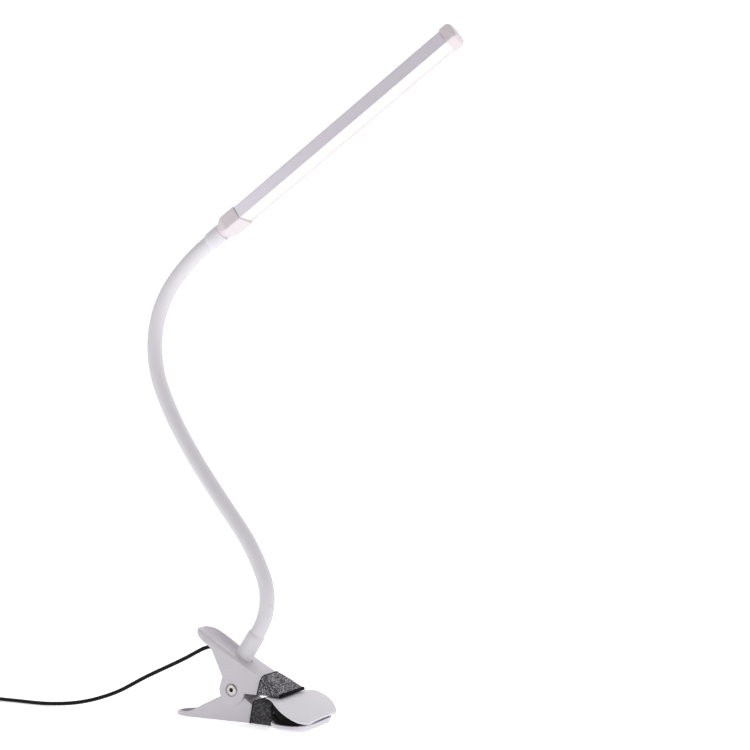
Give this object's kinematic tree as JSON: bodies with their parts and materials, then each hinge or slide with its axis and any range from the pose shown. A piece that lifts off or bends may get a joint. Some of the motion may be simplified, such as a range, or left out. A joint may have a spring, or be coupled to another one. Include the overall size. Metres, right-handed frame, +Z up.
{
  "type": "clip on reading lamp",
  "caption": "Clip-on reading lamp: sprung clamp with tweed sleeves, white gooseneck, LED light bar and a USB lead with a push-button controller.",
  "frame": {"origin": "on the surface the clamp stands on, below the centre of the lamp's box without its lead", "axes": "+Z up, +X the way the jaws point, +Y across the clamp away from the picture's viewer"},
  "size_m": [0.5202, 0.0618, 0.4511],
  "materials": {
    "white_plastic": "satin",
    "white_hose": "matte silicone over steel coil",
    "cap_plastic": "satin",
    "satin_aluminium": "satin anodised",
    "steel": "plated",
    "tweed": "woven, black and grey fleck",
    "black_foam": "matte foam rubber",
    "lead_rubber": "matte",
    "charcoal_plastic": "fine texture",
    "button_plastic": "satin",
    "circuit_board": "white solder mask",
    "diffuser": "frosted, lit"
  },
  "bodies": {
    "clamp_body": {"upper_arm": "white_plastic", "upper_jaw_plate": "white_plastic", "upper_jaw_pad": "black_foam", "upper_sleeve": "tweed", "clamp_rivet": "steel", "rivet_washer": "steel", "torsion_spring": "steel", "hose_base_ferrule": "white_hose", "hose_lock_nut": "steel", "cord_gland": "lead_rubber", "cord_lamp_to_controller": "lead_rubber", "controller_top_shell": "charcoal_plastic", "controller_bottom_shell": "charcoal_plastic", "controller_board": "circuit_board", "relief_lamp_side": "lead_rubber", "relief_plug_side": "lead_rubber", "cord_controller_to_coil": "lead_rubber", "cord_coil": "lead_rubber", "cord_tie": "lead_rubber", "cord_coil_to_plug": "lead_rubber", "usb_overmould": "lead_rubber", "usb_shell": "steel", "usb_tongue": "button_plastic"},
    "lower_jaw": {"lower_arm": "white_plastic", "lower_jaw_plate": "white_plastic", "lower_jaw_pad": "black_foam", "lower_sleeve": "tweed"},
    "hose_1": {"gooseneck_1": "white_hose"},
    "hose_2": {"gooseneck_2": "white_hose"},
    "hose_3": {"gooseneck_3": "white_hose"},
    "hose_4": {"gooseneck_4": "white_hose"},
    "hose_5": {"gooseneck_5": "white_hose"},
    "hose_6": {"gooseneck_6": "white_hose"},
    "hose_7": {"gooseneck_7": "white_hose"},
    "hose_8": {"gooseneck_8": "white_hose"},
    "head": {"head_ferrule": "white_hose", "lower_end_cap": "cap_plastic", "bar_profile": "satin_aluminium", "led_board": "circuit_board", "diffuser": "diffuser", "upper_end_cap": "cap_plastic"},
    "push_1": {"button_1": "button_plastic"},
    "push_2": {"button_2": "button_plastic"},
    "push_3": {"button_3": "button_plastic"},
    "push_4": {"button_4": "button_plastic"}
  },
  "joints": [
    {"name": "clamp_pivot", "type": "hinge", "parent": "clamp_body", "child": "lower_jaw", "pos_m": [-0.0439, 0, 0.022], "axis": [0, 1, 0], "range_deg": [0, 30], "stiffness_Nm_per_rad": 1.2, "springref_deg": -34.38, "deforming": ["torsion_spring"]},
    {"name": "hose_bend_1", "type": "hinge", "parent": "clamp_body", "child": "hose_1", "pos_m": [-0.0289, 0, 0.06167], "axis": [0, 1, 0], "range_deg": [-30, 30]},
    {"name": "hose_swing_2", "type": "hinge", "parent": "hose_1", "child": "hose_2", "pos_m": [-0.0253, 0, 0.099], "axis": [-0.9272, 0, -0.3746], "range_deg": [-30, 30]},
    {"name": "hose_bend_3", "type": "hinge", "parent": "hose_2", "child": "hose_3", "pos_m": [-0.04487, 0, 0.13255], "axis": [0, -1, 0], "range_deg": [-30, 30]},
    {"name": "hose_swing_4", "type": "hinge", "parent": "hose_3", "child": "hose_4", "pos_m": [-0.06887, 0, 0.16327], "axis": [0.7934, 0, 0.6088], "range_deg": [-30, 30]},
    {"name": "hose_bend_5", "type": "hinge", "parent": "hose_4", "child": "hose_5", "pos_m": [-0.09122, 0, 0.19519], "axis": [0, 1, 0], "range_deg": [-30, 30]},
    {"name": "hose_swing_6", "type": "hinge", "parent": "hose_5", "child": "hose_6", "pos_m": [-0.1092, 0, 0.22972], "axis": [-0.9239, 0, -0.3827], "range_deg": [-30, 30]},
    {"name": "hose_bend_7", "type": "hinge", "parent": "hose_6", "child": "hose_7", "pos_m": [-0.11473, 0, 0.2679], "axis": [0, -1, 0], "range_deg": [-30, 30]},
    {"name": "hose_swing_8", "type": "hinge", "parent": "hose_7", "child": "hose_8", "pos_m": [-0.09987, 0, 0.30334], "axis": [0.7716, 0, -0.6361], "range_deg": [-30, 30]},
    {"name": "head_tilt", "type": "hinge", "parent": "hose_8", "child": "head", "pos_m": [-0.07067, 0, 0.3289], "axis": [0, 1, 0], "range_deg": [-30, 30]},
    {"name": "press_1", "type": "slide", "parent": "clamp_body", "child": "push_1", "axis": [0, 0, -1], "range_m": [0, 0.0005], "stiffness_N_per_m": 800, "springref_m": -0.0003},
    {"name": "press_2", "type": "slide", "parent": "clamp_body", "child": "push_2", "axis": [0, 0, -1], "range_m": [0, 0.0005], "stiffness_N_per_m": 800, "springref_m": -0.0003},
    {"name": "press_3", "type": "slide", "parent": "clamp_body", "child": "push_3", "axis": [0, 0, -1], "range_m": [0, 0.0005], "stiffness_N_per_m": 800, "springref_m": -0.0003},
    {"name": "press_4", "type": "slide", "parent": "clamp_body", "child": "push_4", "axis": [0, 0, -1], "range_m": [0, 0.0005], "stiffness_N_per_m": 800, "springref_m": -0.0003}
  ]
}
